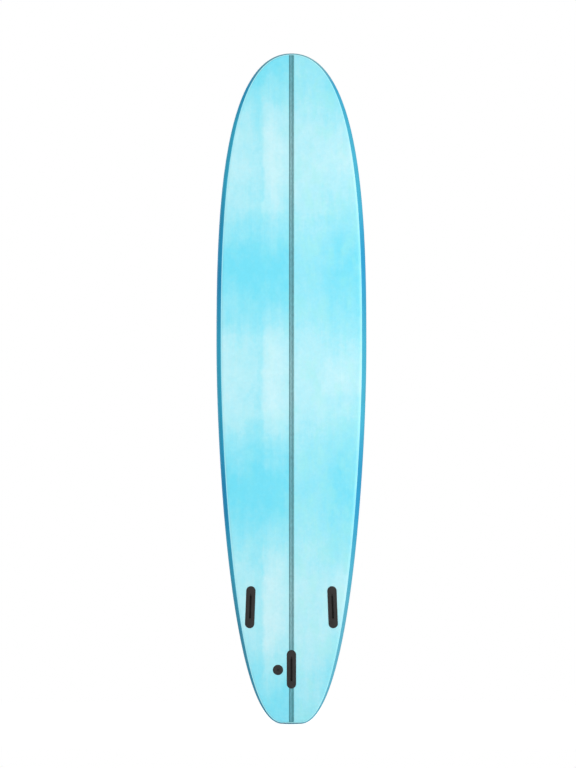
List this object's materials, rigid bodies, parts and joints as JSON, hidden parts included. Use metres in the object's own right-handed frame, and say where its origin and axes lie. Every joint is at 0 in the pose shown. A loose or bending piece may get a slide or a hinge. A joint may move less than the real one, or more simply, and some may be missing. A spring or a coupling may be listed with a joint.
{
  "type": "soft-top surfboard",
  "caption": "Soft-top longboard with a rounded nose, narrow tail, slick bottom, foam deck and rails, laminated stringer, slotted fin boxes and a leash plug.",
  "frame": {"origin": "bottom centre of the bounding box of the board stood on its tail: on the centre line, level with the tail's end, halfway through the side profile's depth", "axes": "+Z along the board from tail to nose, -Y out of the slick bottom face and +Y out of the deck, +X to the right as seen when facing the bottom"},
  "size_m": [0.613, 0.14, 2.743],
  "materials": {
    "core_foam": "white expanded polystyrene, cut surface",
    "stringer_wood": "raw pale plywood",
    "stringer_veneer": "raw dark veneer",
    "deck_foam": "closed-cell polyethylene foam with a fine grain",
    "rail_foam": "closed-cell polyethylene foam, darker blue",
    "slick": "cloudy cyan polyethylene sheet, satin to gloss",
    "black_nylon": "charcoal moulded nylon, fine matte",
    "steel": "plain stainless steel",
    "black_steel": "black oxide steel"
  },
  "bodies": {
    "root": {"bottom_skin": "slick", "deck_ferrule_centre_front": "black_nylon", "deck_ferrule_centre_rear": "black_nylon", "deck_ferrule_left_front": "black_nylon", "deck_ferrule_left_rear": "black_nylon", "deck_ferrule_right_front": "black_nylon", "deck_ferrule_right_rear": "black_nylon", "deck_skin": "deck_foam", "fin_bolt_centre_front": "black_steel", "fin_bolt_centre_rear": "black_steel", "fin_bolt_left_front": "black_steel", "fin_bolt_left_rear": "black_steel", "fin_bolt_right_front": "black_steel", "fin_bolt_right_rear": "black_steel", "fin_box_centre": "black_nylon", "fin_box_left": "black_nylon", "fin_box_right": "black_nylon", "fin_lock_screw_centre": "black_steel", "fin_lock_screw_left": "black_steel", "fin_lock_screw_right": "black_steel", "foam_core_left": "core_foam", "foam_core_right": "core_foam", "leash_bar": "steel", "leash_base_plate": "black_nylon", "leash_cup": "black_nylon", "leash_screw": "black_steel", "rail_strip_left": "rail_foam", "rail_strip_right": "rail_foam", "stringer_slat": "stringer_wood", "stringer_veneer_left": "stringer_veneer", "stringer_veneer_right": "stringer_veneer"}
  },
  "joints": []
}
